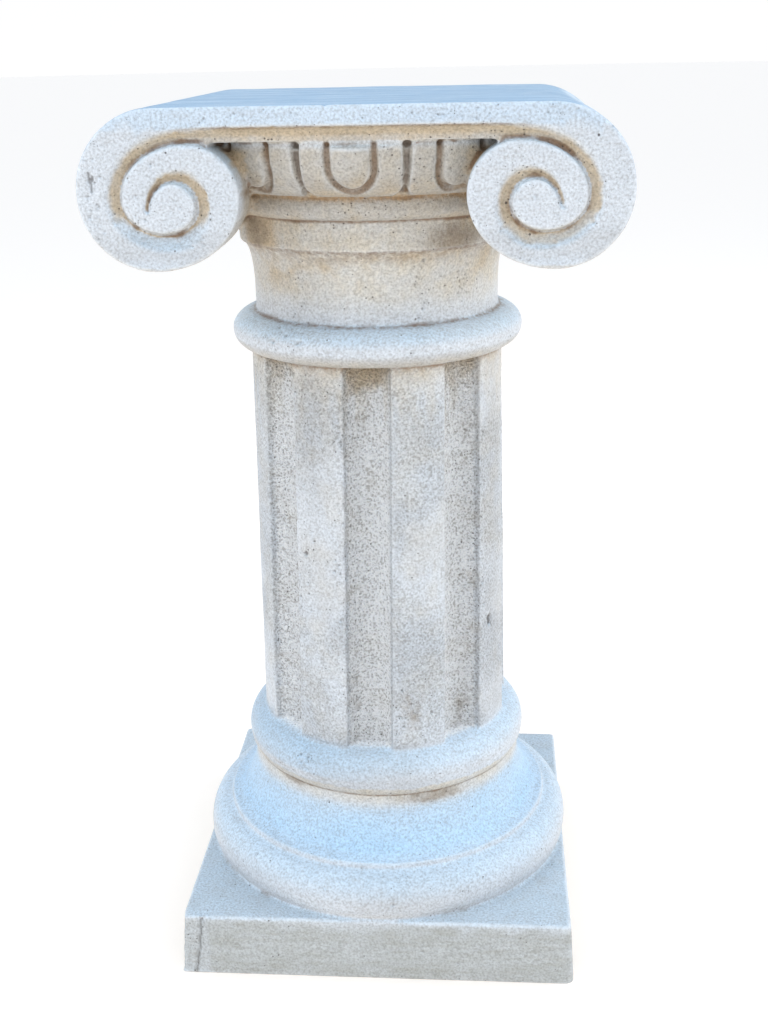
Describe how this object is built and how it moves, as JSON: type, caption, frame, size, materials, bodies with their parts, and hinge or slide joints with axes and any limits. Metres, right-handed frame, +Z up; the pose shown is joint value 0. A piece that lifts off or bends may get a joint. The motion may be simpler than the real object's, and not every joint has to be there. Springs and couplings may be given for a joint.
{
  "type": "ionic column pedestal",
  "caption": "One-piece cast stone pedestal: square plinth, moulded round base, fluted shaft, and an ionic capital with scroll volutes under a flat top slab.",
  "frame": {"origin": "on the underside, at the middle of the whole object's length and width: the left volute stands 4.3 mm further out than the right one, so the column's axis is 2.15 mm to the right of the origin", "axes": "+Z up along the column, -Y out of the front volute face, +X to the right seen from the front"},
  "size_m": [0.3332, 0.286, 0.608],
  "materials": {
    "cast_stone": "matt lime washed cast stone, off-white with brown stain in the hollows and small open pits"
  },
  "bodies": {
    "root": {"pedestal": "cast_stone"}
  },
  "joints": []
}
